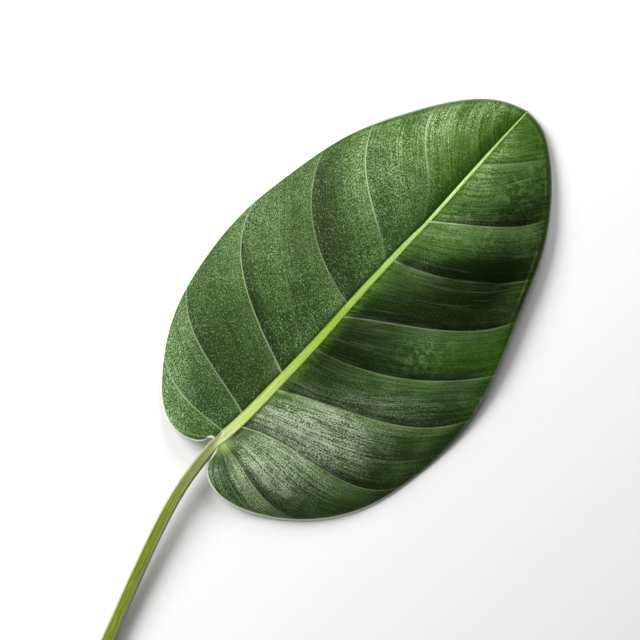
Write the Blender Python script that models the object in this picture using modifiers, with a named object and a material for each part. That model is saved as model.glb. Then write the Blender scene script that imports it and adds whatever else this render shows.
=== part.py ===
"""A cut heart-shaped leaf lying face up: an entire blade on a long round stalk.

The blade, its midrib and its stalk grew as one piece, so they are one solid.
+Y runs along the midrib towards the tip, +X to the leaf's right, +Z up.
The origin is under the middle of the leaf, on the surface it lies on.
"""
import bmesh
import bpy
import numpy as np

# Driving dimensions, in metres.
BLADE_LENGTH = 0.240        # from the joint of stalk and blade to the tip
BLADE_THICKNESS = 0.0006
RIB_PROUD = 0.0003          # how far the midrib stands above the blade
RIB_END_RADIUS = 0.0007
JOINT_RADIUS = 0.0030       # stalk and midrib where the blade begins
STALK_END_RADIUS = 0.0041   # at the cut
FURROW_DEPTH = 0.0035       # the blade rises this much on either side of the midrib

# Shape, as shares of the blade's length: across, along, height. The joint is at 0, 0.
JOINT = (0.0, 0.0, 0.054)
TIP = (0.0, 1.0, 0.010)
MIDRIB = (JOINT, (0.002, 0.10, 0.068), (0.007, 0.30, 0.084), (0.010, 0.55, 0.082),
          (0.008, 0.76, 0.056), TIP)
STALK = ((0.205, -0.71), (0.124, -0.48), (0.045, -0.25), (0.010, -0.11), (0.0, 0.0))
STALK_HEIGHTS = (0.0171, 0.0210, 0.0340, 0.0420, 0.0446)
RIGHT_MARGIN = (JOINT, (0.010, -0.014, 0.052), (0.017, -0.046, 0.046), (0.048, -0.077, 0.036),
                (0.104, -0.084, 0.022), (0.186, -0.054, 0.008), (0.270, 0.011, 0.002),
                (0.340, 0.112, 0.000), (0.374, 0.240, 0.000), (0.377, 0.400, 0.012),
                (0.350, 0.515, 0.025), (0.293, 0.661, 0.033), (0.231, 0.806, 0.029),
                (0.166, 0.899, 0.021), (0.094, 0.968, 0.015), (0.045, 0.995, 0.012), TIP)
LEFT_MARGIN = (JOINT, (-0.018, -0.010, 0.052), (-0.025, -0.027, 0.048), (-0.064, -0.047, 0.036),
               (-0.123, -0.037, 0.018), (-0.195, 0.025, 0.005), (-0.260, 0.127, 0.0005),
               (-0.300, 0.278, 0.000), (-0.307, 0.420, 0.000), (-0.288, 0.556, 0.000),
               (-0.252, 0.699, 0.001), (-0.182, 0.832, 0.004), (-0.108, 0.935, 0.007),
               (-0.045, 0.984, 0.009), TIP)

# The side veins fan out: rows leave the midrib and meet each margin at these shares.
ROW_STATIONS = (0.00, 0.12, 0.25, 0.40, 0.55, 0.70, 0.85, 1.00)
RIB_SHARES = (0.000, 0.012, 0.060, 0.180, 0.360, 0.560, 0.770, 1.000)
RIGHT_SHARES = (0.075, 0.260, 0.410, 0.555, 0.655, 0.745, 0.875, 1.000)
LEFT_SHARES = (0.050, 0.135, 0.290, 0.490, 0.610, 0.760, 0.930, 1.000)
LOBE_STATION = ROW_STATIONS[1]      # rows before this follow the edge of the notch
ROW_BEND = (0.70, 0.42)             # a row's control point, as shares across and along it
DROOP_POWER = 2.2                   # how late the blade turns down towards its margin
FURROW_WIDTH = 0.15                 # share of a row over which the blade rises

ROWS = 36
COLUMNS = 22                        # across the whole blade, so half on either side
STALK_POINTS = 16
RIB_POINTS = 18
RIB_REACH = 0.97                    # share of the blade that the midrib's body runs to
SMOOTH_SAMPLES = 400
SHARP_ANGLE = np.radians(50)
WELD = 0.00002


def smooth_line(points, count):
    """Natural cubic spline through points, read at count places an even way apart."""
    knots = np.array(points, dtype=float)
    gaps = np.linalg.norm(np.diff(knots, axis=0), axis=1)[:, None]
    places = np.concatenate([[0.0], np.cumsum(gaps)])
    size = len(knots)
    system = np.eye(size)
    turn = np.zeros_like(knots)
    slopes = np.diff(knots, axis=0) / gaps
    for i in range(1, size - 1):
        system[i, i - 1:i + 2] = gaps[i - 1, 0], 2 * (gaps[i - 1, 0] + gaps[i, 0]), gaps[i, 0]
        turn[i] = 6 * (slopes[i] - slopes[i - 1])
    bend = np.linalg.solve(system, turn)
    at = np.linspace(0.0, places[-1], SMOOTH_SAMPLES)
    span = np.clip(np.searchsorted(places, at, side="right") - 1, 0, size - 2)
    gap = gaps[span]
    after = at[:, None] - places[span][:, None]
    before = gap - after
    line = (bend[span] * before**3 + bend[span + 1] * after**3) / (6 * gap)
    line += (knots[span] / gap - bend[span] * gap / 6) * before
    line += (knots[span + 1] / gap - bend[span + 1] * gap / 6) * after
    return along(line, np.linspace(0.0, 1.0, count))


def along(line, shares):
    """Points of a fine line at the given shares of its length."""
    steps = np.linalg.norm(np.diff(line, axis=0), axis=1)
    travelled = np.concatenate([[0.0], np.cumsum(steps)])
    wanted = np.asarray(shares) * travelled[-1]
    return np.stack([np.interp(wanted, travelled, axis) for axis in line.T], axis=-1)


RIB_LINE = smooth_line(MIDRIB, SMOOTH_SAMPLES)
MARGIN_LINES = {
    1: (smooth_line(RIGHT_MARGIN, SMOOTH_SAMPLES), RIGHT_SHARES),
    -1: (smooth_line(LEFT_MARGIN, SMOOTH_SAMPLES), LEFT_SHARES),
}


def row_arc(station, margin, shares, reach):
    """A point on the row that leaves the midrib at station, at reach of the way out.

    In plan the row is an arc from the midrib to the margin. It rises beside the
    midrib, out of the furrow, and then droops to the margin.
    """
    rib_share = np.interp(station, ROW_STATIONS, RIB_SHARES)
    start = along(RIB_LINE, rib_share)
    end = along(margin, np.interp(station, ROW_STATIONS, shares))
    control = start[:2] + (end - start)[:2] * ROW_BEND
    plan = (1 - reach)**2 * start[:2] + 2 * reach * (1 - reach) * control + reach**2 * end[:2]
    furrow = FURROW_DEPTH / BLADE_LENGTH * (1 - rib_share**3) * min(1.0, 4 * station)
    crown = start[2] + furrow * (1 - np.exp(-reach / FURROW_WIDTH))
    droop = reach**DROOP_POWER
    return np.append(plan, crown * (1 - droop) + end[2] * droop)


def blade_point(across, station):
    """A point of the blade's middle surface, in shares of its length.

    across runs from -1 at the left margin to 1 at the right one, and station
    from 0 at the notch to 1 at the tip. The first row is bent onto the notch's
    edge, and the rows after it less and less.
    """
    reach = abs(across)
    margin, shares = MARGIN_LINES[1 if across >= 0 else -1]
    point = row_arc(station, margin, shares, reach)
    notch_edge = along(margin, shares[0] * reach)
    notch_pull = max(0.0, 1 - station / LOBE_STATION)
    return point + (notch_edge - row_arc(0.0, margin, shares, reach)) * notch_pull


def plain_material():
    material = bpy.data.materials.new("leaf_green")
    material.use_nodes = True
    shader = material.node_tree.nodes["Principled BSDF"]
    shader.inputs["Base Color"].default_value = (0.045, 0.120, 0.030, 1.0)
    shader.inputs["Roughness"].default_value = 0.42
    shader.inputs["Metallic"].default_value = 0.0
    return material


def make_blade(collection):
    """The blade: a grid whose rows follow the side veins, given its thickness."""
    bm = bmesh.new()
    bmesh.ops.create_grid(bm, x_segments=COLUMNS, y_segments=ROWS, size=1.0)
    for vertex in bm.verts:
        across, row = vertex.co.x, vertex.co.y
        vertex.co = blade_point(across, (row + 1) / 2) * BLADE_LENGTH
    bmesh.ops.remove_doubles(bm, verts=bm.verts, dist=WELD)
    bmesh.ops.recalc_face_normals(bm, faces=bm.faces)
    mesh = bpy.data.meshes.new("blade")
    bm.to_mesh(mesh)
    bm.free()
    blade = bpy.data.objects.new("leaf", mesh)
    collection.objects.link(blade)
    wall = blade.modifiers.new("thickness", "SOLIDIFY")
    wall.thickness = BLADE_THICKNESS
    wall.offset = 0.0
    return blade


def stem_line():
    """Centre points and radii of the stalk and the midrib, cut end first."""
    stalk = [(x, y, z) for (x, y), z in zip(STALK, STALK_HEIGHTS)]
    stalk_points = smooth_line(stalk, STALK_POINTS) * BLADE_LENGTH
    stalk_radii = np.linspace(STALK_END_RADIUS, JOINT_RADIUS, STALK_POINTS)
    shares = np.linspace(0.0, RIB_REACH, RIB_POINTS)
    rib_points = along(RIB_LINE, shares) * BLADE_LENGTH
    rib_radii = JOINT_RADIUS + (RIB_END_RADIUS - JOINT_RADIUS) * shares / RIB_REACH
    rib_points[:, 2] += BLADE_THICKNESS / 2 + RIB_PROUD - rib_radii
    points = np.vstack([stalk_points[:-1], rib_points])
    return points, np.concatenate([stalk_radii[:-1], rib_radii])


def make_stem(collection):
    """The stalk and midrib: one tapering round curve, made a mesh with closed ends."""
    points, radii = stem_line()
    curve = bpy.data.curves.new("stem", "CURVE")
    curve.dimensions = "3D"
    curve.bevel_depth = 1.0
    curve.bevel_resolution = 2
    curve.use_fill_caps = True
    spline = curve.splines.new("POLY")
    spline.points.add(len(points) - 1)
    for point, place, radius in zip(spline.points, points, radii):
        point.co = (*place, 1.0)
        point.radius = radius
    guide = bpy.data.objects.new("stem_curve", curve)
    collection.objects.link(guide)
    bpy.context.view_layer.update()
    evaluated = guide.evaluated_get(bpy.context.evaluated_depsgraph_get())
    mesh = bpy.data.meshes.new_from_object(evaluated)
    stem = bpy.data.objects.new("stem", mesh)
    stem.matrix_world = guide.matrix_world
    collection.objects.link(stem)
    bpy.data.objects.remove(guide)
    bm = bmesh.new()
    bm.from_mesh(mesh)
    bmesh.ops.remove_doubles(bm, verts=bm.verts, dist=WELD)
    bm.to_mesh(mesh)
    bm.free()
    return stem


def join_stem(blade, stem):
    """Grow the stem into the blade, leaving one closed solid."""
    union = blade.modifiers.new("stem", "BOOLEAN")
    union.operation = "UNION"
    union.solver = "EXACT"
    union.object = stem
    stem.hide_render = True
    stem.display_type = "WIRE"
    bpy.context.view_layer.update()
    evaluated = blade.evaluated_get(bpy.context.evaluated_depsgraph_get())
    mesh = bpy.data.meshes.new_from_object(evaluated)
    blade.modifiers.clear()
    blade.data = mesh
    mesh.name = "leaf"


def lay_on_ground(leaf):
    """Move the mesh so that the origin is at the middle of its box's base."""
    mesh = leaf.data
    places = np.empty(len(mesh.vertices) * 3)
    mesh.vertices.foreach_get("co", places)
    places = places.reshape(-1, 3)
    low, high = places.min(axis=0), places.max(axis=0)
    places -= ((low[0] + high[0]) / 2, (low[1] + high[1]) / 2, low[2])
    mesh.vertices.foreach_set("co", places.ravel())
    mesh.update()


def main():
    for old in list(bpy.data.objects):
        bpy.data.objects.remove(old)
    parts = bpy.data.collections.new("philodendron_leaf")
    tools = bpy.data.collections.new("joining_shapes")
    for collection in (parts, tools):
        bpy.context.scene.collection.children.link(collection)
    leaf = make_blade(parts)
    stem = make_stem(tools)
    join_stem(leaf, stem)
    lay_on_ground(leaf)
    leaf.data.materials.clear()
    leaf.data.materials.append(plain_material())
    leaf.data.shade_smooth()
    leaf.data.set_sharp_from_angle(angle=SHARP_ANGLE)


main()
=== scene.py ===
import math

import bpy
import numpy as np
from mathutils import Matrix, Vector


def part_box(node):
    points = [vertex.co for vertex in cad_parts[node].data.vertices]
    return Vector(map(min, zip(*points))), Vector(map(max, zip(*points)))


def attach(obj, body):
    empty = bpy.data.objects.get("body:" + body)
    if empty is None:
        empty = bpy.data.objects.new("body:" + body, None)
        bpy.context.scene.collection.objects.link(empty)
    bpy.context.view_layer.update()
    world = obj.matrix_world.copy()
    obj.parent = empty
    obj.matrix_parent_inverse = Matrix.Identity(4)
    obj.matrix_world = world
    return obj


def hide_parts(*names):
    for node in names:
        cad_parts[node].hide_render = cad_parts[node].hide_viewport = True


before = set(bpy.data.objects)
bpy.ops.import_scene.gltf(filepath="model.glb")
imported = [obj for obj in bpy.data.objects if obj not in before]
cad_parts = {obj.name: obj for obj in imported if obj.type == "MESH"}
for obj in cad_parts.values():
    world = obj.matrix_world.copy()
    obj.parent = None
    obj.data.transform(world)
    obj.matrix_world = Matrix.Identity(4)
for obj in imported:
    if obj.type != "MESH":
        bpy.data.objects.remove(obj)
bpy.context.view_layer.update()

# Places on the leaf are (across, along, height) in shares of the blade's length, from the joint of
# stalk and blade: across to the leaf's right, along towards its tip. Details are in millimetres.
leafMeasure = {
    "boxLength": 1.7160,  # the whole leaf, from the stalk's cut end to the tip
    "boxLeft": 0.3087,  # from the joint to the box's left side
    "boxTip": 1.0004,  # from the joint to the box's tip end
    "boxFloor": 0.0016,  # from the floor to the height that places are measured from
}
leafLow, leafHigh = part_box("leaf")
bladeLength = (leafHigh.y - leafLow.y) / leafMeasure["boxLength"]
bladeLengthMm = 1000.0 * bladeLength  # turns a share into millimetres
jointPlace = np.array([
    leafLow.x + leafMeasure["boxLeft"] * bladeLength,
    leafHigh.y - leafMeasure["boxTip"] * bladeLength,
    leafLow.z + leafMeasure["boxFloor"] * bladeLength,
])


def inRow(points):
    # Places in the row's metres: joint plus share times blade length.
    return jointPlace + np.asarray(points) * bladeLength


def smoothStep(value, low, high):
    # 0 below low and 1 above high, and 3x^2 - 2x^3 of the share of the way between.
    share = np.clip((value - low) / (high - low), 0.0, 1.0)
    return share * share * (3.0 - 2.0 * share)


def smoothLine(points, count=1200):
    # Natural cubic spline: a cubic between neighbouring points, with slope and bend matched at each.
    knots = np.array(points, dtype=float)
    gaps = np.linalg.norm(np.diff(knots, axis=0), axis=1)
    places = np.concatenate([[0.0], np.cumsum(gaps)])
    system = np.diag(np.concatenate([[1.0], 2.0 * (gaps[:-1] + gaps[1:]), [1.0]]))
    system += np.diag(np.append(gaps[:-1], 0.0), -1)
    system += np.diag(np.append(0.0, gaps[1:]), 1)
    turn = np.zeros_like(knots)
    turn[1:-1] = 6.0 * np.diff(np.diff(knots, axis=0) / gaps[:, None], axis=0)
    system[0, 1] = system[-1, -2] = 0.0
    bend = np.linalg.solve(system, turn)
    at = np.linspace(0.0, places[-1], count)
    span = np.clip(np.searchsorted(places, at, side="right") - 1, 0, len(gaps) - 1)
    gap = gaps[span][:, None]
    after = at[:, None] - places[span][:, None]
    before = gap - after
    line = (bend[span] * before**3 + bend[span + 1] * after**3) / (6.0 * gap)
    line += (knots[span] / gap - bend[span] * gap / 6.0) * before
    line += (knots[span + 1] / gap - bend[span + 1] * gap / 6.0) * after
    return line


def along(line, shares):
    # The points at these shares of a line's length.
    travelled = np.concatenate([[0.0], np.cumsum(np.linalg.norm(np.diff(line, axis=0), axis=1))])
    wanted = np.asarray(shares) * travelled[-1]
    return np.stack([np.interp(wanted, travelled, axis) for axis in line.T], axis=-1)


def nearest(points, line):
    # Distance in plan from each point of a grid to the nearest of a line's points, row by row.
    rows = [np.min(np.hypot(row[:, None, 0] - line[:, 0], row[:, None, 1] - line[:, 1]), axis=1)
            for row in points]
    return np.array(rows)


def waves(x, y, length, seed, count=7):
    # Soft unevenness from -1 to 1: a sum of sines of about this wave length, each turned its own way.
    random = np.random.default_rng(seed)
    heading = random.uniform(0.0, 2.0 * np.pi, count)
    pitch = 2.0 * np.pi / (length * random.uniform(0.7, 1.5, count))
    start = random.uniform(0.0, 2.0 * np.pi, count)
    total = sum(np.sin((x * np.cos(h) + y * np.sin(h)) * k + s) for h, k, s in zip(heading, pitch, start))
    return total / count * 1.6


def gridNormals(points):
    # Unit normals of a grid surface: its two running differences crossed, and turned upwards.
    normals = np.cross(np.gradient(points, axis=1), np.gradient(points, axis=0))
    normals /= np.maximum(np.linalg.norm(normals, axis=-1, keepdims=True), 1e-15)
    return normals * np.where(normals[..., 2:] < 0.0, -1.0, 1.0)


def makePiece(name, points, faces, faceMaterials, materials, values):
    # A mesh object from arrays: its points in the row's metres, faces, materials and point attributes.
    mesh = bpy.data.meshes.new(name)
    mesh.from_pydata(points.tolist(), [], faces)
    for material in materials:
        mesh.materials.append(material)
    mesh.polygons.foreach_set("material_index", np.asarray(faceMaterials, dtype=np.int32))
    for key, value in values.items():
        layer = mesh.attributes.new(key, "FLOAT", "POINT")
        layer.data.foreach_set("value", np.asarray(value, dtype=np.float32))
    mesh.shade_smooth()
    piece = bpy.data.objects.new(name, mesh)
    bpy.context.scene.collection.objects.link(piece)
    return piece


class Wire:
    # An output socket. Arithmetic on it adds the Math nodes that work the result out.
    def __init__(self, tree, socket):
        self.tree = tree
        self.socket = socket

    def node(self, kind, settings, inputs, output=0):
        # Any other node: settings first, then each socket's value or link. Returns one of its outputs.
        node = self.tree.nodes.new(kind)
        for key, value in settings.items():
            if key == "stops":
                fillRamp(node.color_ramp, value)
            else:
                setattr(node, key, value)
        for key, value in inputs.items():
            if isinstance(value, Wire):
                self.tree.links.new(value.socket, node.inputs[key])
            else:
                node.inputs[key].default_value = value
        return Wire(self.tree, node.outputs[output])

    def maths(self, operation, first, second):
        return self.node("ShaderNodeMath", {"operation": operation}, {0: first, 1: second})

    def __add__(self, other):
        return self.maths("ADD", self, other)

    def __mul__(self, other):
        return self.maths("MULTIPLY", self, other)

    def __sub__(self, other):
        return self.maths("SUBTRACT", self, other)

    def __rsub__(self, other):
        return self.maths("SUBTRACT", other, self)

    def __truediv__(self, other):
        return self.maths("DIVIDE", self, other)

    def __rpow__(self, other):
        return self.maths("POWER", other, self)

    __radd__ = __add__
    __rmul__ = __mul__

    def step(self, low, high, before=0.0, after=1.0):
        # Smooth change from before to after, while this value goes from low to high.
        inputs = {0: self, 1: low, 2: high, 3: before, 4: after}
        return self.node("ShaderNodeMapRange", {"interpolation_type": "SMOOTHSTEP"}, inputs)

    def near(self, width):
        # 1 where this value is 0, and e^-(value / width)^2 away from it.
        share = self / width
        return math.e ** (share * share * -1.0)

    def attribute(self, name):
        # One of the piece's own point values.
        return self.node("ShaderNodeAttribute", {"attribute_name": name}, {}, 2)

    def vector(self, x, y, z):
        # A place made of three numbers or wires.
        return self.node("ShaderNodeCombineXYZ", {}, {0: x, 1: y, 2: z})

    def noise(self, place, scale, detail=2.0, roughness=0.5):
        # Cloud noise from 0 to 1 on a place.
        inputs = {"Vector": place, "Scale": scale, "Detail": detail, "Roughness": roughness}
        return self.node("ShaderNodeTexNoise", {}, inputs)

    def mix(self, share, first, second):
        # Two colours, blended by share. A colour is a wire or plain (red, green, blue).
        first, second = [value if isinstance(value, Wire) else (*value, 1.0) for value in (first, second)]
        settings = {"data_type": "RGBA", "clamp_factor": True}
        return self.node("ShaderNodeMix", settings, {0: share, 6: first, 7: second}, 2)


def fillRamp(ramp, stops):
    # Sets a colour ramp's stops: (place, colour) pairs.
    while len(ramp.elements) < len(stops):
        ramp.elements.new(0.5)
    for element, (place, colour) in zip(ramp.elements, stops):
        element.position = place
        element.color = (*colour, 1.0)


def newFinish(name, settings):
    # A material with one Principled shader, and its fixed values set on the shader's own sockets.
    material = bpy.data.materials.new(name)
    material.use_nodes = True
    tree = material.node_tree
    shader = tree.nodes["Principled BSDF"]
    for key, value in settings.items():
        shader.inputs[key].default_value = value
    place = tree.nodes.new("ShaderNodeTexCoord")
    return material, shader, Wire(tree, place.outputs["Object"])


def connect(shader, links):
    # Links wires to the shader's sockets.
    for key, wire in links.items():
        wire.tree.links.new(wire.socket, shader.inputs[key])


def bump(wire, height):
    # Turns a height in millimetres into a surface normal.
    inputs = {"Strength": 1.0, "Distance": 0.001, "Height": height}
    return wire.node("ShaderNodeBump", {}, inputs)


# The camera looks straight down on the leaf, with the tip up and to the right.
camera = {
    "lens": 100.0,
    "sensor": 36.0,
    "turn": 43.29,  # degrees, from the leaf's own length
    "centre": (-0.0178, 0.3490),  # the place it looks at
    "height": 3.9459,  # above the height that places are measured from
    "clipStart": 0.01,  # metres
}


def makeCamera():
    # A camera over its centre, with its -Z straight down, turned about the upright.
    data = bpy.data.cameras.new("camera")
    data.lens = camera["lens"]
    data.sensor_width = camera["sensor"]
    data.clip_start = camera["clipStart"]
    view = bpy.data.objects.new("camera", data)
    view.location = inRow((*camera["centre"], camera["height"]))
    view.rotation_euler = (0.0, 0.0, math.radians(camera["turn"]))
    bpy.context.scene.collection.objects.link(view)
    bpy.context.scene.camera = view


makeCamera()
print("camera: placed")

# The midrib's centre line, on the blade's middle surface.
midrib = {
    "line": [(0.0, 0.0, 0.054), (0.0056, 0.05, 0.0613), (0.0095, 0.18, 0.0764), (0.0100, 0.30, 0.0840),
             (0.0064, 0.42, 0.0866), (0.0049, 0.55, 0.0820), (0.0050, 0.66, 0.0709),
             (0.0042, 0.76, 0.0560), (0.0008, 0.88, 0.0341), (0.0, 1.0, 0.010)],
    "halfWidths": (3.10, 0.42),  # millimetres, at the joint and at the tip
    "proud": 0.30,  # above the blade's face
    "radii": (3.0, 0.45),  # depth of the keel under the blade, at the joint and at the tip
}
ribLine = smoothLine(midrib["line"])


def ribHalfWidth(share):
    # Half the midrib's width in millimetres: falls evenly from the joint to the tip.
    base, tip = midrib["halfWidths"]
    return tip + (base - tip) * (1.0 - share)


def ribDistance(points):
    # Plan distance to the midrib in millimetres; below the joint, to the joint itself.
    ribAcross = np.interp(points[..., 1], ribLine[:, 1], ribLine[:, 0])
    return np.hypot(points[..., 0] - ribAcross, np.minimum(points[..., 1], 0.0)) * bladeLengthMm


# A row is a side vein, or the blade's first or last line, or a fainter line between two veins: its share
# of the midrib where it leaves, its share of the margin where it ends, the angles in degrees from the
# midrib's direction with which it leaves and ends, and its valley's depth in millimetres.
# A patch of colour is its row, its half height in rows, its reach from the midrib (0) to the margin (1),
# its half width in the same shares, and its strength.
leftHalf = {
    "side": -1.0,  # the way across: to the left
    "margin": [(0.0, 0.0, 0.054), (-0.0165, -0.001, 0.0525), (-0.0200, -0.0125, 0.050),
               (-0.032, -0.029, 0.046), (-0.069, -0.044, 0.035), (-0.123, -0.037, 0.018),
               (-0.195, 0.025, 0.005), (-0.260, 0.127, 0.0005), (-0.300, 0.278, 0.0),
               (-0.307, 0.420, 0.0), (-0.288, 0.556, 0.0), (-0.252, 0.699, 0.001),
               (-0.182, 0.832, 0.004), (-0.108, 0.935, 0.007), (-0.045, 0.984, 0.009),
               (0.0, 1.0, 0.010)],
    "rows": [(0.000, 0.050, 170, 120, 0.0), (0.019, 0.115, 138, 67, 0.9), (0.029, 0.214, 97, 53, 1.1),
             (0.082, 0.333, 70, 35, 1.4), (0.205, 0.515, 69, 8, 1.9), (0.271, 0.560, 59, 40, 0.4),
             (0.415, 0.651, 82, 17, 2.2), (0.541, 0.742, 59, 18, 1.5), (0.642, 0.855, 13, -10, 1.2),
             (0.829, 0.941, 64, -19, 0.35), (0.999, 0.999, 50, -10, 0.0)],
    "seed": 11,
    "runStart": 0.0,  # keeps the two halves' patterns apart
    "speckled": 1.0,  # how far specks take the place of cross lines
    "comb": 0.15,  # strength of the pale teeth beside the midrib
    "paleRim": (150.0, 215.0),  # millimetres from the joint between which the margin's pale line fades
    "veinFade": (75.0, 120.0),  # and between which the veins' pale lines fade
    "shade": [(4.2, 0.8, 0.25, 0.35, 0.25), (6.28, 0.32, 0.55, 0.50, 0.80), (3.45, 0.5, 0.50, 0.5, 0.72),
              (4.7, 0.6, 0.70, 0.30, 0.22), (5.6, 0.5, 0.70, 0.40, 0.52), (2.35, 0.3, 0.30, 0.40, 0.45),
              (2.8, 0.4, 0.50, 0.35, 0.45), (5.4, 0.4, 0.45, 0.4, 0.25), (4.15, 0.12, 0.50, 0.40, 0.45),
              (7.12, 0.12, 0.50, 0.40, 0.35)],
    # Sheen patches: a painted whitish highlight.
    "bloom": [(5.5, 0.8, 0.75, 0.35, 0.20), (7.5, 0.7, 0.70, 0.40, 0.40), (8.25, 0.25, 0.80, 0.25, 0.6),
              (9.25, 0.30, 0.85, 0.20, 0.5), (9.5, 0.9, 0.75, 0.35, 0.36), (6.80, 0.20, 0.70, 0.35, 0.30),
              (8.6, 0.5, 0.55, 0.3, 0.25), (1.0, 1.0, 0.85, 0.30, 0.60), (2.5, 0.6, 0.74, 0.25, 0.50),
              (4.2, 0.6, 0.85, 0.20, 0.30)],
    "fresh": [(9.3, 1.0, 0.40, 0.40, 0.85), (8.3, 0.6, 0.30, 0.40, 0.50), (1.0, 1.5, 0.40, 0.40, 0.30),
              (3.4, 0.5, 0.50, 0.40, 0.35)],
    "cool": [(2.4, 0.9, 0.45, 0.40, 0.80), (1.0, 0.7, 0.60, 0.30, 0.40)],
    "blotch": [(6.0, 0.7, 0.60, 0.30, 0.30), (4.6, 0.9, 0.80, 0.20, 0.45)],
}
rightHalf = {
    "side": 1.0,  # the way across: to the right
    "margin": [(0.0, 0.0, 0.054), (0.010, -0.014, 0.052), (0.017, -0.046, 0.046),
               (0.048, -0.077, 0.036), (0.104, -0.084, 0.022), (0.186, -0.054, 0.008),
               (0.270, 0.011, 0.002), (0.340, 0.112, 0.0), (0.374, 0.240, 0.0),
               (0.377, 0.400, 0.012), (0.350, 0.515, 0.025), (0.293, 0.661, 0.033),
               (0.231, 0.806, 0.029), (0.166, 0.899, 0.021), (0.094, 0.968, 0.015),
               (0.045, 0.995, 0.012), (0.0, 1.0, 0.010)],
    "rows": [(0.000, 0.075, 170, 120, 0.0), (0.004, 0.148, 130, 88, 0.9), (0.010, 0.223, 96, 55, 2.6),
             (0.054, 0.382, 54, 23, 2.3), (0.100, 0.453, 68, 26, 0.4), (0.168, 0.516, 58, 28, 2.3),
             (0.212, 0.549, 84, 48, 0.4), (0.293, 0.591, 76, 37, 2.0), (0.382, 0.675, 51, 27, 2.0),
             (0.548, 0.741, 71, 37, 2.8), (0.662, 0.833, 49, 24, 2.4), (0.774, 0.896, 70, 45, 0.4),
             (0.831, 0.921, 46, 34, 1.1), (0.927, 0.965, 72, 39, 0.35), (0.999, 0.999, 60, 30, 0.0)],
    "seed": 23,
    "runStart": 400.0,
    "speckled": 0.45,
    "comb": 1.0,
    "paleRim": (20.0, 75.0),
    "veinFade": (165.0, 200.0),
    "shade": [(7.5, 0.8, 0.12, 0.28, 0.95), (8.5, 0.6, 0.58, 0.50, 1.00), (9.15, 0.40, 0.60, 0.40, 0.9),
              (10.3, 0.45, 0.60, 0.35, 0.45), (6.6, 0.8, 0.10, 0.20, 0.40), (9.8, 0.5, 0.80, 0.25, 0.35),
              (2.08, 0.07, 0.42, 0.28, 0.95), (1.10, 0.12, 0.45, 0.35, 0.70), (3.10, 0.12, 0.45, 0.35, 0.50),
              (2.9, 0.4, 0.85, 0.15, 0.28), (6.4, 0.6, 0.13, 0.18, 0.35), (2.4, 0.3, 0.80, 0.20, 0.25),
              (9.2, 0.4, 0.75, 0.35, 0.35), (10.5, 0.35, 0.85, 0.25, 0.25)],
    # Sheen patches: a painted whitish highlight.
    "bloom": [(2.35, 0.25, 0.33, 0.20, 1.0), (4.0, 0.8, 0.28, 0.24, 1.9), (1.75, 0.18, 0.40, 0.30, 1.0),
              (0.45, 0.7, 0.60, 0.60, 0.40), (2.7, 0.6, 0.33, 0.24, 0.62), (1.3, 0.1, 0.50, 0.40, 0.6),
              (5.8, 0.6, 0.45, 0.35, 0.30), (9.9, 0.5, 0.12, 0.25, 0.20), (1.45, 0.18, 0.66, 0.25, 0.45),
              (12.2, 1.6, 0.12, 0.22, 0.65)],
    "fresh": [(7.5, 0.6, 0.85, 0.22, 0.95), (12.6, 1.2, 0.60, 0.50, 0.60), (5.4, 0.9, 0.85, 0.20, 0.35),
              (1.5, 0.45, 0.45, 0.45, 0.60), (9.6, 0.5, 0.35, 0.35, 0.45), (9.7, 0.4, 0.20, 0.25, 0.35)],
    "cool": [(3.2, 0.6, 0.15, 0.20, 0.40), (7.9, 0.3, 0.55, 0.18, 0.80)],
    "blotch": [(7.55, 0.40, 0.54, 0.14, 1.3), (9.7, 0.45, 0.62, 0.28, 1.0), (10.6, 0.6, 0.62, 0.25, 0.9),
               (8.3, 0.45, 0.70, 0.25, 0.75), (11.6, 0.6, 0.70, 0.25, 0.6)],
}
blade = {
    "handle": 0.36,  # a row's curve handles, in shares of the straight way across
    "droopPower": 2.2,  # how late the blade bends down on its way to the margin
    "columns": 104,
    "rowSpacing": 1.25,
    "fewestRows": 7,  # between two veins
    "crowding": 0.55,  # how much closer rows stand beside a vein
    "furrow": (3.5, 11.0),  # rise beside the midrib, and how far it reaches
    "furrowFade": 30.0,  # how far in from the margin the rise is lost
    "marginFade": 14.0,  # how far in from the margin valleys and unevenness are lost
    "tipSide": 4.0,  # reach of a vein's valley towards the tip
    "baseSide": 9.0,  # reach of a vein's valley towards the stalk
    "valleyStart": 9.0,  # how far from the midrib a valley is at its full depth
    "uneven": [(46.0, 0.55), (19.0, 0.22)],  # wave length and height
    "unevenStart": (2.0, 14.0),  # from the midrib, where the unevenness starts and is full
    "turnedFrom": (110.0, 190.0),  # from the joint, where the margin starts to turn down and is full
    "turnedRise": 0.9,  # height that the turned margin falls from
    "turnedWidth": (0.2, 3.6),  # and how far in from the margin
    "ribClear": (1.0, 8.0),  # from the midrib, where that rise starts and is full
    "thickness": 0.6,
    "rimBulge": 0.22,
    "keel": 0.55,  # how far side veins stand out of the back
    "keelWidth": 0.9,
    "keelFade": (2.0, 30.0),  # from the margin, where a keel starts and is full
    "patchMost": 1.3,  # the strongest that patches of colour add up to
    "shadeReach": 5.0,  # of the dark on a vein's tip side
    "lightReach": 7.0,  # of the light on a vein's stalk side
    "flankFade": 12.0,  # how far in from the margin both are lost
    "rimPaleLoss": 0.85,  # share of the margin's pale line that fades
    "ribSide": (4.0, 24.0),  # from the midrib, where the left veins' lines fade and stay
    "rightVeinLoss": 0.6,  # share of the right veins' lines that fades near the tip
    "tipSpeckle": 0.45,  # what "speckled" becomes near the tip
    "tipSpeckleFrom": (150.0, 205.0),
    "combFrom": (15.0, 40.0),  # from the joint, where the pale teeth start and are full
    "collar": (4.5, 1.5, 4.5),  # the pale spot at the joint: across, along and radius
    "noVein": 99.0,  # distance that stands for no vein near
}


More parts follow.
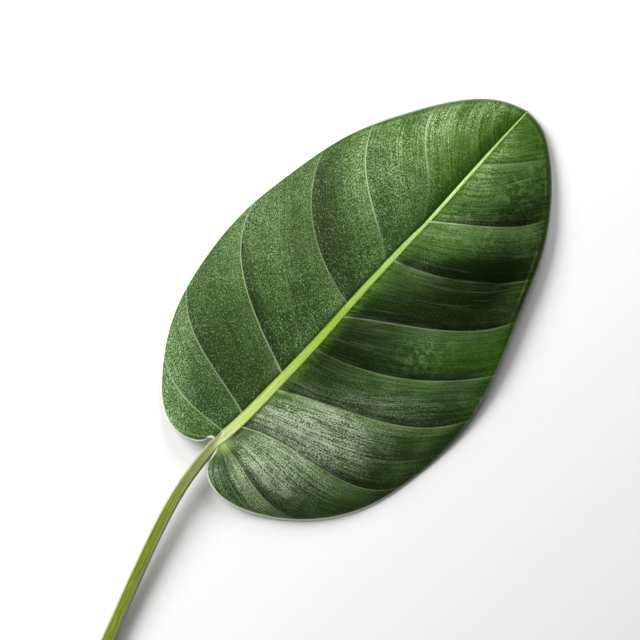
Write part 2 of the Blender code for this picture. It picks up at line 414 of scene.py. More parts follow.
def rowPoints(half, marginLine, places, reach):
    # Rows of the blade's middle surface. In plan a row is a cubic from the midrib to the margin, with
    # handles at its two angles. Its height falls from the midrib's to the margin's with reach^power.
    rows = np.array(half["rows"])
    numbers = np.arange(len(rows))
    ribShare, marginShare, leaving, meeting = [np.interp(places, numbers, column)
                                               for column in rows.T[:4]]
    start = along(ribLine, ribShare)[:, None]
    end = along(marginLine, marginShare)[:, None]
    handle = blade["handle"] * np.linalg.norm((end - start)[..., :2], axis=-1, keepdims=True)
    t = reach[None, :, None]

    def heading(angle):
        # Across and along: the angle's sine and cosine.
        turned = np.radians(angle)
        return np.stack([half["side"] * np.sin(turned), np.cos(turned)], axis=-1)[:, None]

    plan = (1 - t)**3 * start[..., :2] + t**3 * end[..., :2]
    plan = plan + 3 * (1 - t)**2 * t * (start[..., :2] + heading(leaving) * handle)
    plan = plan + 3 * (1 - t) * t**2 * (end[..., :2] - heading(meeting) * handle)
    droop = t**blade["droopPower"]
    height = start[..., 2:] * (1 - droop) + end[..., 2:] * droop
    return np.concatenate([plan, height], axis=-1)


def bladeRows(half, marginLine, places, reach):
    # The rows, with those before the first vein moved by (1 - row) of the gap between row and notch edge.
    points = rowPoints(half, marginLine, places, reach)
    notchEdge = along(marginLine, half["rows"][0][1] * reach)
    firstRow = rowPoints(half, marginLine, np.zeros(1), reach)[0]
    pull = np.clip(1.0 - places, 0.0, 1.0)[:, None, None]
    return points + pull * (notchEdge - firstRow)


def spreadRows(half, marginLine):
    # Row places: every vein is a row, rows crowd beside it, and wide panels have more of them.
    count = len(half["rows"])
    halfWay = bladeRows(half, marginLine, np.arange(count), np.array([0.5, 0.7]))[:, 0]
    widths = np.linalg.norm(np.diff(halfWay, axis=0), axis=1) * bladeLengthMm
    places = []
    for number, width in enumerate(widths):
        share = np.arange(max(blade["fewestRows"], round(width / blade["rowSpacing"])))
        share = share / len(share)
        places.append(number + share - blade["crowding"] * np.sin(2.0 * np.pi * share) / (2.0 * np.pi))
    places = np.concatenate(places + [[count - 1.0]])
    return places, np.interp(places, np.arange(count), np.concatenate([[0.0], np.cumsum(widths)]))


def veinDistances(half, marginLine, points, places, reach):
    # For each point, how far away the vein before it and the vein after it are, square to the vein.
    count = len(half["rows"])
    veins = bladeRows(half, marginLine, np.arange(count), reach)[..., :2]
    heading = np.gradient(veins, axis=1)
    heading /= np.linalg.norm(heading, axis=-1, keepdims=True)
    before = np.clip(np.floor(places).astype(int), 0, count - 2)
    distances = []
    for number in (before, before + 1):
        away = points[..., :2] - veins[number]
        side = away[..., 0] * heading[number][..., 1] - away[..., 1] * heading[number][..., 0]
        distances.append(np.abs(side) * bladeLengthMm)
    return before, distances[0], distances[1]


def patches(places, reach, spots):
    # Soft patches on the rows, added up: each is its strength times e^-(distance in half sizes)^2.
    total = np.zeros((len(places), len(reach)))
    for row, rowSize, out, outSize, strength in spots:
        rowPart = ((places - row) / rowSize)**2
        total += strength * np.exp(-rowPart[:, None] - ((reach - out) / outSize)[None]**2)
    return np.clip(total, 0.0, blade["patchMost"])


def halfSurface(half):
    # One half of the blade's middle surface, with the values that its finish reads. On the rows' own
    # height come the furrow, rise * (1 - e^-(distance / reach)), the soft unevenness and the margin's
    # turn, less each vein's valley, depth * e^-(distance / reach).
    marginLine = smoothLine(half["margin"])
    places, run = spreadRows(half, marginLine)
    even = np.linspace(0.0, 1.0, blade["columns"])
    reach = even - 0.5 * np.sin(2.0 * np.pi * even) / (2.0 * np.pi)
    points = bladeRows(half, marginLine, places, reach)
    x, y = points[..., 0] * bladeLengthMm, points[..., 1] * bladeLengthMm
    fromRib = ribDistance(points)
    fromMargin = nearest(points, marginLine) * bladeLengthMm
    before, tipSide, baseSide = veinDistances(half, marginLine, points, places, reach)
    rows = np.array(half["rows"])
    number = np.arange(len(rows))
    depths = rows[:, 4]
    depthBefore, depthAfter = depths[before][:, None], depths[before + 1][:, None]
    rib = np.interp(places, number, rows[:, 0])[:, None]
    ribEdge = ribHalfWidth(rib)
    rise, spread = blade["furrow"]
    height = rise * (1.0 - rib**3) * (1.0 - np.exp(-np.maximum(fromRib - ribEdge, 0.0) / spread))
    height *= smoothStep(fromMargin, 0.0, blade["furrowFade"])
    inward = smoothStep(fromMargin, 0.0, blade["marginFade"])
    valley = depthBefore * np.exp(-tipSide / blade["tipSide"])
    valley += depthAfter * np.exp(-baseSide / blade["baseSide"])
    height -= valley * smoothStep(fromRib, ribEdge, ribEdge + blade["valleyStart"]) * inward
    uneven = sum(size * waves(x, y, length, half["seed"] + layer)
                 for layer, (length, size) in enumerate(blade["uneven"]))
    height += uneven * smoothStep(fromRib, *blade["unevenStart"]) * inward
    turned = smoothStep(y, *blade["turnedFrom"])
    turnedHeight = blade["turnedRise"] * turned * smoothStep(fromMargin, *blade["turnedWidth"])
    height += turnedHeight * smoothStep(fromRib, *blade["ribClear"])
    points[..., 2] += height / bladeLengthMm
    if half["side"] < 0:
        veinLoss = 1.0 - smoothStep(fromRib, *blade["ribSide"])
    else:
        veinLoss = blade["rightVeinLoss"]
    flat = np.zeros_like(fromRib)
    flank = smoothStep(fromMargin, 0.0, blade["flankFade"])
    steps = np.linalg.norm(np.diff(points[..., :2], axis=1), axis=-1) * bladeLengthMm
    tipSpeckled = smoothStep(y, *blade["tipSpeckleFrom"])
    collarX, collarY, collarSize = blade["collar"]
    values = {
        "rowRun": run[:, None] + flat + half["runStart"],
        "rowLength": np.pad(np.cumsum(steps, axis=1), ((0, 0), (1, 0))),
        "tipShade": depthBefore * np.exp(-tipSide / blade["shadeReach"]) * flank,
        "baseLight": depthAfter * np.exp(-baseSide / blade["lightReach"]) * flank,
        "rimPale": 1.0 - blade["rimPaleLoss"] * smoothStep(y, *half["paleRim"]),
        "fromVein": np.minimum(np.where(depthBefore > 0.0, tipSide, blade["noVein"]),
                               np.where(depthAfter > 0.0, baseSide, blade["noVein"])),
        "veinDepth": np.interp(places, number, depths)[:, None] + flat,
        "fromMargin": fromMargin,
        "fromRib": fromRib - ribHalfWidth(np.clip(points[..., 1], 0.0, 1.0)),
        "turned": turned,
        "speckled": half["speckled"] + (blade["tipSpeckle"] - half["speckled"]) * tipSpeckled,
        "veinSeen": 1.0 - smoothStep(y, *half["veinFade"]) * veinLoss,
        "comb": smoothStep(y, *blade["combFrom"]) * half["comb"],
        "collar": np.exp(-((x - collarX)**2 + (y - collarY)**2) / collarSize**2),
    }
    for kind in ("shade", "bloom", "fresh", "cool", "blotch"):
        values[kind] = patches(places, reach, half[kind])
    return points, values


def shellOf(points, values, side, first):
    # Closes a grid into a thin shell: a face and a back half the thickness away along the normal, and
    # round its edge a wall with a bulging middle line. The back has keels of e^-(distance / width)^2.
    normals = gridNormals(points)
    half = blade["thickness"] / 2.0 / bladeLengthMm
    keel = blade["keel"] / bladeLengthMm * np.minimum(values["veinDepth"], 1.0)
    keel = keel * np.exp(-(values["fromVein"] / blade["keelWidth"])**2)
    keel = keel * smoothStep(values["fromMargin"], *blade["keelFade"])
    upperSide = points + normals * half
    lowerSide = points - normals * (half + keel[..., None])
    rows, columns = points.shape[:2]
    index = np.arange(rows * columns).reshape(rows, columns)
    loop = np.concatenate([index[0, :-1], index[:-1, -1], index[-1, :0:-1], index[:0:-1, 0]])
    edge = points.reshape(-1, 3)[loop]
    headings = np.roll(edge, -1, axis=0) - np.roll(edge, 1, axis=0)
    outward = np.cross(headings, normals.reshape(-1, 3)[loop]) * side
    outward /= np.maximum(np.linalg.norm(outward, axis=-1, keepdims=True), 1e-15)
    middle = edge + outward * blade["rimBulge"] / bladeLengthMm
    allPoints = np.concatenate([upperSide.reshape(-1, 3), lowerSide.reshape(-1, 3), middle])
    size = rows * columns
    quads = np.stack([index[:-1, :-1], index[:-1, 1:], index[1:, 1:], index[1:, :-1]], axis=-1)
    quads = quads.reshape(-1, 4)
    ring = np.arange(len(loop)) + 2 * size
    nextLoop, nextRing = np.roll(loop, -1), np.roll(ring, -1)
    upper = np.stack([ring, nextRing, nextLoop, loop], axis=-1)
    lower = np.stack([loop + size, nextLoop + size, nextRing, ring], axis=-1)
    faces = np.concatenate([quads, quads[:, ::-1] + size, upper, lower])
    if side < 0:
        faces = faces[:, ::-1]
    materials = np.repeat([0, 1, 2], [len(quads), len(quads), 2 * len(loop)])
    allValues = {key: np.concatenate([value.ravel(), value.ravel(), value.ravel()[loop]])
                 for key, value in values.items()}
    return allPoints, faces + first, materials, allValues


# The face's finish. Colours are linear; a pair is the pattern's dark and light. A pattern on the rows has
# its cells per millimetre across them and its stretch along them, one in place has its cells per metre.
face = {
    "shader": {"IOR": 1.45, "Specular IOR Level": 0.15, "Specular Tint": (0.80, 1.0, 0.28, 1.0)},
    "deep": [(0.003, 0.015, 0.0015), (0.006, 0.030, 0.003)],
    "light": [(0.048, 0.135, 0.014), (0.075, 0.190, 0.024)],
    # The speckled colours give the left half a greyer, paler green: partly its own tone, partly painted
    # sheen.
    "speckledDeep": (0.008, 0.024, 0.003),
    "speckledLight": (0.098, 0.198, 0.052),
    "speckledShare": 0.65,
    # Bluish green: the leaf's own tint, and on the right half near the midrib a bluish cast of painted sheen.
    "cool": [(0.006, 0.046, 0.012), (0.060, 0.195, 0.066)],
    "fresh": [(0.022, 0.085, 0.001), (0.080, 0.200, 0.005)],
    # Painted light on each vein's stalk side.
    "paintedVeinLight": [(0.035, 0.090, 0.012), (0.190, 0.300, 0.110)],
    "blotch": (0.130, 0.215, 0.078),
    "shade": (0.0040, 0.0135, 0.0022),
    # Painted sheen: colours of the whitish highlight on the right half, the left half and the turned tip.
    "sheenColour": (0.43, 0.53, 0.35),
    "speckledSheenColour": (0.38, 0.54, 0.28),
    "tipSheenColour": (0.34, 0.54, 0.20),
    "shadeThread": (0.060, 0.085, 0.048),
    "darkSpeck": (0.005, 0.021, 0.003),
    # Pale specks are painted glints.
    "paintedGlint": (0.345, 0.505, 0.250),
    # Pale teeth: the fine veins' paler green with a painted highlight.
    "teeth": (0.082, 0.185, 0.016),
    "ribShadow": (0.010, 0.030, 0.002),
    "lush": (0.022, 0.082, 0.002),
    "vein": (0.390, 0.490, 0.280),
    # Painted shade on the turned-down margin strip.
    "turnedStripShade": (0.022, 0.048, 0.010),
    "crease": (0.200, 0.300, 0.110),
    "rim": (0.74, 0.79, 0.60),
    "collar": (0.420, 0.600, 0.180),
    "cloudScale": 45.0,
    "patchScale": 85.0,
    "grain": (1.45, 0.80),
    "lines": (0.8, 0.020),
    "threads": (1.7, 0.035),
    "streaks": (0.40, 0.02),
    "teethPattern": (2.6, 0.05),
    "sparkleScale": 1250.0,
    "speckScale": 1150.0,
    "blotchScale": 240.0,
    "wispScale": 130.0,
    "teethReach": 7.5,  # millimetres from the midrib
    "ribShadowReach": (0.2, 2.4),
    "lushReach": (1.0, 11.0),
    "veinWidths": (0.46, 0.28),  # beside the midrib, and 60 mm out
    "veinReach": 60.0,
    "turnedStripReach": (0.8, 3.4),  # from the margin
    "creaseWidth": 0.55,
    "rimReach": (0.55, 1.15),
    "roughness": (0.50, 0.64),
    "shadeGloss": 0.20,  # how much smoother dark places on the right half are
    "relief": {"lines": 0.14, "threads": 0.10, "grain": 0.12, "veins": 0.08},
}


def bladeFaceFinish():
    # Dark and light green, mixed by a weave of lines, threads and grain; then tints, painted light and shade,
    # painted sheen and specks, each a mix by its own patch value and pattern; then the lines along midrib,
    # veins and margin.
    material, shader, place = newFinish("bladeFace", face["shader"])
    run, length, fromVein, fromMargin, fromRib, shade, speckled, turned = [
        place.attribute(name) for name in
        ("rowRun", "rowLength", "fromVein", "fromMargin", "fromRib", "shade", "speckled", "turned")]

    def onRows(name, start, detail, roughness, across=1.0):
        # Noise on (run, length * stretch), so that its cells are long along the rows.
        cells, stretch = face[name]
        return place.noise(place.vector(run * across, length * stretch, start), cells, detail, roughness)

    clouds = place.noise(place, face["cloudScale"], 3.0, 0.55).step(0.35, 0.70)
    patchy = place.noise(place, face["patchScale"], 3.0, 0.60).step(0.38, 0.64)
    grain = onRows("grain", 0.0, 1.0, 0.60)
    sparkle = place.noise(place, face["sparkleScale"], 1.0, 0.6)
    lines = onRows("lines", 3.0, 2.0, 0.70)
    threads = onRows("threads", 9.0, 1.0, 0.5)
    weave = lines.step(0.38, 0.64) * 0.28 + threads.step(0.44, 0.60) * 0.38
    weave = weave * (1.0 - speckled * 0.55) + grain.step(0.40, 0.60) * speckled * 0.75

    # Ground colour and tints, painted light on veins' stalk sides, painted shade on their tip sides and in
    # shade patches
    speckledShare = speckled.step(0.45, 1.0) * face["speckledShare"]
    deep = place.mix(speckledShare, place.mix(clouds, *face["deep"]), face["speckledDeep"])
    light = place.mix(speckledShare, place.mix(clouds, *face["light"]), face["speckledLight"])
    tone = place.mix(weave * (0.58 + patchy * 0.30), deep, light)
    tone = place.mix(place.attribute("cool") * 0.8, tone, place.mix(weave, *face["cool"]))
    tone = place.mix(place.attribute("fresh") * 0.9, tone, place.mix(weave, *face["fresh"]))
    tone = place.mix(place.attribute("baseLight") * 0.42, tone, place.mix(weave, *face["paintedVeinLight"]))
    blotch = place.noise(place, face["blotchScale"], 3.0, 0.7).step(0.49, 0.60)
    tone = place.mix(blotch * place.attribute("blotch") * 0.75, tone, face["blotch"])
    tone = place.mix(place.attribute("tipShade") * 0.36 + shade * 0.86, tone, face["shade"])

    # Painted sheen: whitish highlights in flecks that follow the rows
    flecks = threads.step(0.46, 0.58) * 0.50 + lines.step(0.46, 0.62) * 0.30
    flecks = flecks * (1.0 - speckled * 0.60) + grain.step(0.46, 0.60) * (0.25 + speckled * 0.35)
    flecks = flecks + sparkle.step(0.55, 0.64) * 0.70
    sheenColour = place.mix(speckled.step(0.40, 1.0), face["sheenColour"], face["speckledSheenColour"])
    sheenColour = place.mix(turned * 0.85, sheenColour, face["tipSheenColour"])
    streaked = onRows("streaks", 21.0, 2.0, 0.6, across=0.5)
    wisps = place.noise(place, face["wispScale"], 3.0, 0.6)
    sheenShare = (place.attribute("bloom") * 1.05 + patchy * 0.05 + 0.02) * streaked.step(0.35, 0.62, 0.70, 1.15)
    sheenShare = sheenShare * wisps.step(0.36, 0.62, 0.60, 1.25)
    tone = place.mix((flecks * 1.45 - 0.20) * sheenShare * (1.0 - shade * 0.8), tone, sheenColour)
    shadeThreads = threads.step(0.52, 0.64) * shade * streaked.step(0.38, 0.60)
    tone = place.mix(shadeThreads * 0.55, tone, face["shadeThread"])

    # Dark specks, and pale specks that are painted glints, most of them on the left half
    specks = place.noise(place, face["speckScale"], 2.0, 0.8)
    spotted = speckled.step(0.40, 1.0, 0.15, 1.0) * (1.0 - shade * 0.5)
    tone = place.mix(specks.step(0.36, 0.48, 0.78, 0.0) * spotted, tone, face["darkSpeck"])
    paintedGlints = specks.step(0.56, 0.64, 0.0, 0.46) * spotted * (0.8 + clouds * 0.7)
    tone = place.mix(paintedGlints, tone, face["paintedGlint"])

    # Beside the midrib: pale teeth, the fine veins' paler green with a painted highlight, a thin painted
    # shadow and a strip of fuller green
    teeth = onRows("teethPattern", 17.0, 1.0, 0.5).step(0.42, 0.62)
    comb = (teeth * 0.85 + 0.15) * fromRib.step(-1.0, face["teethReach"], 1.0, 0.0)
    comb = comb * place.attribute("comb")
    tone = place.mix(comb * 0.68, tone, face["teeth"])
    ribShadow = fromRib.step(*face["ribShadowReach"], 0.75, 0.0) * (1.0 - comb)
    tone = place.mix(ribShadow, tone, face["ribShadow"])
    lush = fromRib.step(*face["lushReach"], 0.55, 0.0) * speckled.step(0.45, 1.0, 0.6, 1.0)
    tone = place.mix(lush * (1.0 - comb) * turned, tone, face["lush"])

    # Veins
    veinWidth = fromRib.step(0.0, face["veinReach"], *face["veinWidths"])
    veinLine = fromVein.near(veinWidth) * place.attribute("veinDepth").step(0.0, 1.4)
    veinLine = veinLine * fromMargin.step(1.0, 14.0, 0.45, 1.0) * (1.0 - shade * 0.7)
    veinLine = veinLine * lines.step(0.32, 0.60, 0.4, 1.0) * place.attribute("veinSeen")
    tone = place.mix(veinLine, tone, face["vein"])

    # Margin: the turned strip in painted shade, its crease and the pale line
    stripStart, stripEnd = face["turnedStripReach"]
    stripShade = fromMargin.step(stripStart, stripEnd, 1.0, 0.0) * turned
    tone = place.mix(stripShade * 0.60, tone, face["turnedStripShade"])
    crease = (fromMargin - stripEnd).near(face["creaseWidth"]) * turned
    tone = place.mix(crease * clouds * lines.step(0.35, 0.55, 0.2, 0.6), tone, face["crease"])
    rim = fromMargin.step(*face["rimReach"], 1.0, 0.0) * place.attribute("rimPale")
    tone = place.mix(rim, tone, face["rim"])
    collar = place.attribute("collar") * lines.step(0.30, 0.65, 0.35, 1.0)
    tone = place.mix(collar, tone, face["collar"])

    relief = face["relief"]
    height = (lines - 0.5) * relief["lines"] + (threads - 0.5) * relief["threads"]
    height = height + (grain - 0.5) * speckled * relief["grain"] - veinLine * relief["veins"]
    gloss = shade * (1.0 - speckled) * face["shadeGloss"]
    connect(shader, {
        "Base Color": tone,
        "Roughness": grain.step(0.3, 0.7, *face["roughness"]) - gloss,
        "Normal": bump(place, height),
    })
    return material


back = {
    "shader": {"IOR": 1.45},
    "green": [(0.075, 0.170, 0.050), (0.120, 0.240, 0.080)],
    "vein": (0.240, 0.360, 0.110),
    "veinWidth": 0.8,  # millimetres
    "speckleScale": 900.0,
    "roughness": (0.50, 0.62),
}


def bladeBackFinish():
    # Paler green mixed by fine lines along the rows, with lines of e^-(distance / width)^2 on the veins.
    material, shader, place = newFinish("bladeBack", back["shader"])
    run = place.attribute("rowRun")
    length = place.attribute("rowLength")
    fineLines = place.noise(place.vector(run, length * 0.03, 5.0), 1.1, 2.0, 0.5)
    speckle = place.noise(place, back["speckleScale"], 2.0, 0.6)
    tone = place.mix(fineLines, *back["green"])
    tone = place.mix(place.attribute("fromVein").near(back["veinWidth"]) * 0.7, tone, back["vein"])
    connect(shader, {
        "Base Color": tone,
        "Roughness": speckle.step(0.3, 0.7, *back["roughness"]),
        "Normal": bump(place, (fineLines - 0.5) * 0.10 + (speckle - 0.5) * 0.05),
    })
    return material


# The margin's wall and the stalk's cut end are each two colours mixed by grain.
grainy = {
    "bladeRim": {
        "colours": [(0.36, 0.42, 0.22), (0.74, 0.77, 0.58)],
        "grain": (500.0, 0.0, 1.0),  # cells per metre, and the noise's dark and light ends
        "roughness": (0.42, 0.58),
        "relief": 0.05,
    },
    "cutStalk": {
        "colours": [(0.30, 0.36, 0.12), (0.52, 0.56, 0.28)],
        "grain": (1400.0, 0.4, 0.65),
        "roughness": (0.55, 0.75),
        "relief": 0.25,
    },
}


def grainyFinish(name):
    # Colour, roughness and height all follow one noise.
    look = grainy[name]
    scale, dark, light = look["grain"]
    material, shader, place = newFinish(name, {"IOR": 1.45})
    grain = place.noise(place, scale, 2.0, 0.6)
    share = grain.step(dark, light) if dark > 0.0 else grain
    connect(shader, {
        "Base Color": place.mix(share, *look["colours"]),
        "Roughness": grain.step(0.3, 0.7, *look["roughness"]),
        "Normal": bump(place, grain * look["relief"]),
    })
    return material


def makeBlade():
    # The two halves' shells, one after the other in one mesh.
    parts = []
    first = 0
    for half in (leftHalf, rightHalf):
        points, values = halfSurface(half)
        part = shellOf(points, values, half["side"], first)
        first += len(part[0])
        parts.append(part)
        print("blade: half of", len(points), "rows")
    points = inRow(np.concatenate([part[0] for part in parts]))
    faces = np.concatenate([part[1] for part in parts])
    values = {key: np.concatenate([part[3][key] for part in parts]) for key in parts[0][3]}
    finishes = [bladeFaceFinish(), bladeBackFinish(), grainyFinish("bladeRim")]
    return makePiece("blade", points, faces.tolist(), np.concatenate([part[2] for part in parts]),
                     finishes, values)


bladePiece = makeBlade()
print("blade:", len(bladePiece.data.polygons) * 2, "triangles")

# The stalk's centre line runs from its cut end to the joint.
stalk = {
    "line": [(0.205, -0.71, 0.0171), (0.124, -0.48, 0.0210), (0.045, -0.25, 0.0340),
             (0.010, -0.11, 0.0420), (0.0, 0.0, 0.0446)],
    "radii": (4.05, 2.85),  # millimetres, at the cut end and under the blade
    "taperPower": 0.9,
    "stationsStalk": 260,
    "stationsRib": 340,
    "around": 72,
    "capRings": 12,
    "smoothing": 13,  # stations that each centre and size is averaged over
    "jointShares": (-0.02, 0.03),  # where the stalk's section turns into the midrib's
    "stalkSquare": 0.85,  # power of the section's top on the stalk
    "ribSquare": 0.23,  # and on the midrib
    "topStart": (-0.1, 0.3),  # heights in the section between which it turns into its top
    "ridges": 0.035,
    "rims": (0.30, 0.72, 0.2),  # height, place across and width of the stalk's two edges
    "channel": (0.35, 0.5),  # depth and width of the channel between them
    "wrinkles": (0.16, 1.5, 4.0),  # height, spacing and reach of those at the joint
    "cutBulge": 0.25,
    "tipBulge": 0.6,
}


def stemSections():
    # Centre, place and section sizes at each station, from the cut end (-1) through the joint (0) to the
    # tip (1): each the average of its neighbours' values.
    stalkLine = along(smoothLine(stalk["line"]), np.linspace(0.0, 1.0, stalk["stationsStalk"])[:-1])
    share = np.linspace(0.0, 1.0, stalk["stationsRib"])
    ribPoints = along(ribLine, share)
    base, tip = midrib["radii"]
    ribRadius = base + (tip - base) * share
    lift = blade["thickness"] / 2.0 + midrib["proud"] * (1.0 - 0.5 * share)
    ribPoints[:, 2] += (lift - ribRadius) / bladeLengthMm
    centre = np.vstack([stalkLine, ribPoints])
    before = np.linspace(-1.0, 0.0, stalk["stationsStalk"])[:-1]
    place = np.concatenate([before, share])
    cut, top = stalk["radii"]
    stalkRadius = top + (cut - top) * (-before)**stalk["taperPower"]
    onRib = smoothStep(place, *stalk["jointShares"])
    wide = np.concatenate([stalkRadius, ribHalfWidth(share)])
    high = np.concatenate([stalkRadius, ribRadius])
    soft = np.ones(stalk["smoothing"]) / stalk["smoothing"]
    pad = stalk["smoothing"] // 2
    wide, high = [np.convolve(np.pad(size, pad, mode="edge"), soft, mode="valid") for size in (wide, high)]
    axes = [np.pad(axis, pad, mode="reflect", reflect_type="odd") for axis in centre.T]
    centre = np.stack([np.convolve(axis, soft, mode="valid") for axis in axes], axis=-1)
    return centre, place, wide, high, onRib


def makeStem():
    # A section carried along the stalk and the midrib. Round the section, width is a cosine and height
    # a sine; powers below 1 square its top off to the midrib's flat ribbon. The stalk's top has a
    # shallow channel between two rims, and fine ridges run along all of it.
    centre, place, wide, high, onRib = stemSections()
    turn = np.linspace(0.0, 2.0 * np.pi, stalk["around"], endpoint=False)[None]
    ribShare = onRib[:, None]
    onTop = smoothStep(np.sin(turn), *stalk["topStart"])
    topPower = stalk["stalkSquare"] - (stalk["stalkSquare"] - stalk["ribSquare"]) * ribShare
    square = (1.0 - onTop) + onTop * topPower
    x = np.sign(np.cos(turn)) * np.abs(np.cos(turn))**square
    z = np.sign(np.sin(turn)) * np.abs(np.sin(turn))**(square * onTop + (1.0 - onTop))
    travelled = np.concatenate([[0.0], np.cumsum(np.linalg.norm(np.diff(centre, axis=0), axis=1))])
    run = (travelled * bladeLengthMm)[:, None]
    ridges = stalk["ridges"] * waves(turn * 14.0, run * 0.05, 5.0, 5) * np.ones_like(run)
    rimHeight, rimPlace, rimWidth = stalk["rims"]
    channelDepth, channelWidth = stalk["channel"]
    rims = rimHeight * np.exp(-((np.abs(x) - rimPlace) / rimWidth)**2)
    channel = (1.0 - ribShare) * onTop * (rims - channelDepth * np.exp(-(x / channelWidth)**2))
    jointRun = run[np.argmin(np.abs(place)), 0]
    wrinkleHeight, wrinkleSpacing, wrinkleReach = stalk["wrinkles"]
    atJoint = np.exp(-((run - jointRun + 1.0) / wrinkleReach)**2)
    wrinkles = np.sin(run / wrinkleSpacing * 2.0 * np.pi + 1.2 * np.sin(turn * 3.0))
    wrinkles = atJoint * wrinkleHeight * wrinkles
    across = wide[:, None] * x * (1.0 + (ridges + wrinkles) / wide[:, None])
    above = high[:, None] * z + channel + (ridges + wrinkles) * z
    heading = np.gradient(centre, axis=0)
    heading /= np.linalg.norm(heading, axis=1, keepdims=True)
    side = np.cross(heading, (0.0, 0.0, 1.0))
    side /= np.linalg.norm(side, axis=1, keepdims=True)
    up = np.cross(side, heading)
    outward = side[:, None] * across[..., None] + up[:, None] * above[..., None]
    body = centre[:, None] + outward / bladeLengthMm
    quarter = np.linspace(0.0, np.pi / 2.0, stalk["capRings"] + 1)
    shrink, outSteps = np.cos(quarter)[1:-1], np.sin(quarter)[1:-1]
    startCap = [centre[0] + (body[0] - centre[0]) * s - heading[0] * (stalk["cutBulge"] * o) / bladeLengthMm
                for s, o in zip(shrink[::-1], outSteps[::-1])]
    endCap = [centre[-1] + (body[-1] - centre[-1]) * s + heading[-1] * (stalk["tipBulge"] * o) / bladeLengthMm
              for s, o in zip(shrink, outSteps)]
    rings = np.concatenate([startCap, body, endCap])
    count, around = rings.shape[:2]
    index = np.arange(count * around).reshape(count, around)
    nextRound = np.roll(index, -1, axis=1)
    quads = np.stack([index[:-1], nextRound[:-1], nextRound[1:], index[1:]], axis=-1)
    quads = quads.reshape(-1, 4)[:, ::-1]
    closing = [index[0].tolist(), index[-1, ::-1].tolist()]
    cap = len(shrink)
    ringOf = np.repeat(np.arange(count - 1), around)
    cutFaces = np.append(ringOf < cap, [True, False])
    stations = np.clip(np.arange(count) - cap, 0, len(centre) - 1)  # caps repeat the end stations
    values = {"stemRun": run - jointRun, "onRib": ribShare, "stemAcross": x}
    values = {key: (value + np.zeros((len(centre), around)))[stations].ravel()
              for key, value in values.items()}
    return makePiece("stalkAndMidrib", inRow(rings.reshape(-1, 3)), quads.tolist() + closing,
                     cutFaces.astype(int), [stemFinish(), grainyFinish("cutStalk")], values)


# The stalk's and midrib's finish. Places across go from -1, the left edge, to 1; a band is its place and
# its width. The midrib's colours stand at shares of its way from joint to tip.
stem = {
    "shader": {"IOR": 1.45, "Specular IOR Level": 0.40, "Specular Tint": (0.95, 1.0, 0.50, 1.0)},
    "olive": [(0.110, 0.150, 0.008), (0.285, 0.352, 0.026)],
    # Pale edges: partly the stalk's own pale rims, partly painted sheen.
    "paleEdgeAndSheen": [(0.330, 0.350, 0.230), (0.520, 0.540, 0.400)],
    "groove": (0.070, 0.085, 0.012),
    "joint": (0.260, 0.290, 0.150),
    "paleJoint": (0.640, 0.760, 0.360),
    "creases": (0.130, 0.125, 0.060),
    "leftEdge": (-0.90, 0.12),
    "leftGroove": (-0.62, 0.11),
    "rightEdge": (0.74, 0.22),
    "rightGroove": (0.36, 0.12),
    # The middle's colours brighten from 0.58 to 0.86 of the way: a painted highlight on the upper midrib.
    "ribInner": [
        (0.00, (0.640, 0.760, 0.340)),
        (0.10, (0.560, 0.730, 0.200)),
        (0.36, (0.315, 0.475, 0.052)),
        (0.58, (0.435, 0.655, 0.178)),
        (0.74, (0.720, 0.900, 0.420)),
        (0.86, (0.640, 0.880, 0.340)),
        (1.00, (0.400, 0.600, 0.150)),
    ],
    "ribOuter": [
        (0.00, (0.300, 0.420, 0.110)),
        (0.30, (0.130, 0.250, 0.008)),
        (0.80, (0.080, 0.180, 0.010)),
    ],
    "grainScale": 1500.0,
    "roughness": (0.38, 0.52),
}


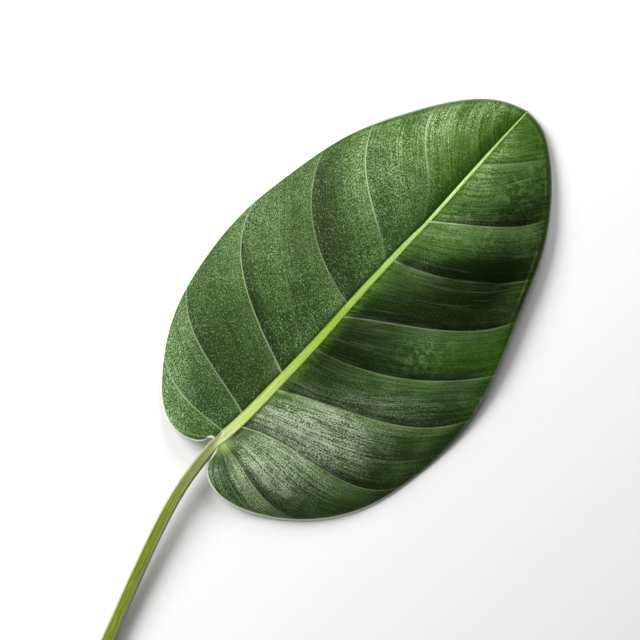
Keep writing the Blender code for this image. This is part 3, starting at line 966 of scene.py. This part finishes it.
def stemFinish():
    # Olive stalk with pale edges, partly their own colour and partly painted sheen, and dark grooves, each of
    # e^-(distance / width)^2 across, and the midrib's two colours along it, with a painted highlight on its
    # upper middle, mixed by distance across and by streaks.
    material, shader, place = newFinish("stemSkin", stem["shader"])
    run = place.attribute("stemRun")
    across = place.attribute("stemAcross")

    def band(name):
        # 1 in the band's middle.
        middle, width = stem[name]
        return (across - middle).near(width)

    lines = place.noise(place.vector(across * 5.0, run * 0.04, 0.0), 1.5, 2.0, 0.6).step(0.30, 0.70)
    grain = place.noise(place, stem["grainScale"], 2.0, 0.6)
    olive = place.mix(lines, *stem["olive"])
    paleEdgeAndSheen = place.mix(grain, *stem["paleEdgeAndSheen"])
    olive = place.mix(band("leftGroove") * 0.55 + band("rightGroove") * 0.50, olive, stem["groove"])
    olive = place.mix(band("leftEdge") + band("rightEdge") * 0.66, olive, paleEdgeAndSheen)
    olive = place.mix(run.step(-60.0, 0.0) * 0.50, olive, stem["joint"])

    far = run / bladeLengthMm
    ribInner = place.node("ShaderNodeValToRGB", {"stops": stem["ribInner"]}, {"Fac": far})
    ribOuter = place.node("ShaderNodeValToRGB", {"stops": stem["ribOuter"]}, {"Fac": far})
    streaks = place.noise(place.vector(across * 2.4, run * 0.05, 7.0), 1.6, 2.0, 0.6).step(0.42, 0.60)
    outer = (across * across).step(0.20, 0.95)
    leftSide = across.step(-1.0, -0.45, 1.0, 0.0)
    ribShare = outer * 0.60 + leftSide * 0.45 + streaks * 0.30 - lines * 0.30 + 0.08
    tone = place.mix(place.attribute("onRib"), olive, place.mix(ribShare, ribInner, ribOuter))

    # The joint is pale on its right and has dark creases on its left
    paleJoint = (run - 3.0).near(6.0) * across.step(-0.4, 0.6, 0.1, 0.8)
    tone = place.mix(paleJoint, tone, stem["paleJoint"])
    creases = place.noise(place.vector(across * 3.0 + run * 0.12, run * 0.16, 4.0), 1.6, 1.0, 0.5)
    creases = creases.step(0.46, 0.58)
    joint = (run - 3.5).near(4.0) * across.step(-0.2, 0.5, 1.0, 0.0) * creases
    tone = place.mix(joint * 0.80, tone, stem["creases"])
    connect(shader, {
        "Base Color": tone,
        "Roughness": grain.step(0.3, 0.7, *stem["roughness"]),
        "Normal": bump(place, lines * 0.10 + grain * 0.05),
    })
    return material


stemPiece = makeStem()
print("stem:", len(stemPiece.data.polygons) * 2, "triangles")

for piece in (bladePiece, stemPiece):
    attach(piece, "root")
    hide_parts("leaf")

# A pale floor and three soft lights: a wide one over the leaf's left, one beyond its tip and one on the
# stalk's side.
studio = {
    "floorSize": 12.0,
    "floorGap": 0.0002,
    "floor": [(0.90, 0.90, 0.90), (0.93, 0.93, 0.93)],
    "floorGlow": (0.72, 0.72, 0.72),
    "glowFrom": (0.28, 0.66),  # metres from the leaf's middle, where the glow starts and is full
    "world": 0.09,
    "lights": [
        # name, place in blade lengths from the leaf's middle, size in metres, watts
        ("keyLight", (-3.4, 3.2, 3.6), 0.9, 24.0),
        ("tipLight", (1.2, 4.2, 2.6), 0.6, 7.0),
        ("stalkLight", (-3.6, -2.2, 2.6), 0.6, 4.0),
    ],
}


def makeFloor():
    # One flat square. Far from the leaf it glows softly, so that it stays pale all round.
    half = studio["floorSize"] / 2.0
    z = leafLow.z - studio["floorGap"]
    corners = [(-half, -half, z), (half, -half, z), (half, half, z), (-half, half, z)]
    mesh = bpy.data.meshes.new("floor")
    mesh.from_pydata(corners, [], [(0, 1, 2, 3)])
    material, shader, place = newFinish("paleFloor", {
        "Roughness": 0.9,
        "Specular IOR Level": 0.1,
        "Emission Strength": 1.0,
    })
    grain = place.noise(place, 300.0, 2.0, 0.5)
    away = place.node("ShaderNodeVectorMath", {"operation": "LENGTH"}, {0: place}, 1)
    glow = away.step(*studio["glowFrom"])
    connect(shader, {
        "Base Color": place.mix(grain, *studio["floor"]),
        "Emission Color": place.mix(glow, (0.0, 0.0, 0.0), studio["floorGlow"]),
    })
    mesh.materials.append(material)
    floor = bpy.data.objects.new("floor", mesh)
    bpy.context.scene.collection.objects.link(floor)


def aim(lamp, target):
    # Turns a lamp so that its -Z looks at the target.
    lamp.rotation_euler = (target - lamp.location).to_track_quat("-Z", "Y").to_euler()


def makeLights():
    # Round area lights, placed from the leaf's middle with the camera's turn, and an even white world.
    middle = (leafLow + leafHigh) / 2.0
    turn = math.radians(camera["turn"])
    for name, offset, size, watts in studio["lights"]:
        data = bpy.data.lights.new(name, "AREA")
        data.shape = "DISK"
        data.size = size
        data.energy = watts
        lamp = bpy.data.objects.new(name, data)
        lamp.visible_camera = False
        right, up, above = [share * bladeLength for share in offset]
        lamp.location = middle
        lamp.location.x += right * math.cos(turn) - up * math.sin(turn)
        lamp.location.y += right * math.sin(turn) + up * math.cos(turn)
        lamp.location.z += above
        aim(lamp, middle)
        bpy.context.scene.collection.objects.link(lamp)
    world = bpy.data.worlds.new("studio")
    world.use_nodes = True
    background = world.node_tree.nodes["Background"]
    background.inputs["Strength"].default_value = studio["world"]
    background.inputs["Color"].default_value = (1.0, 1.0, 1.0, 1.0)
    bpy.context.scene.world = world
    bpy.context.scene.view_settings.view_transform = "Standard"


makeFloor()
makeLights()
print("studio: floor and lights placed")
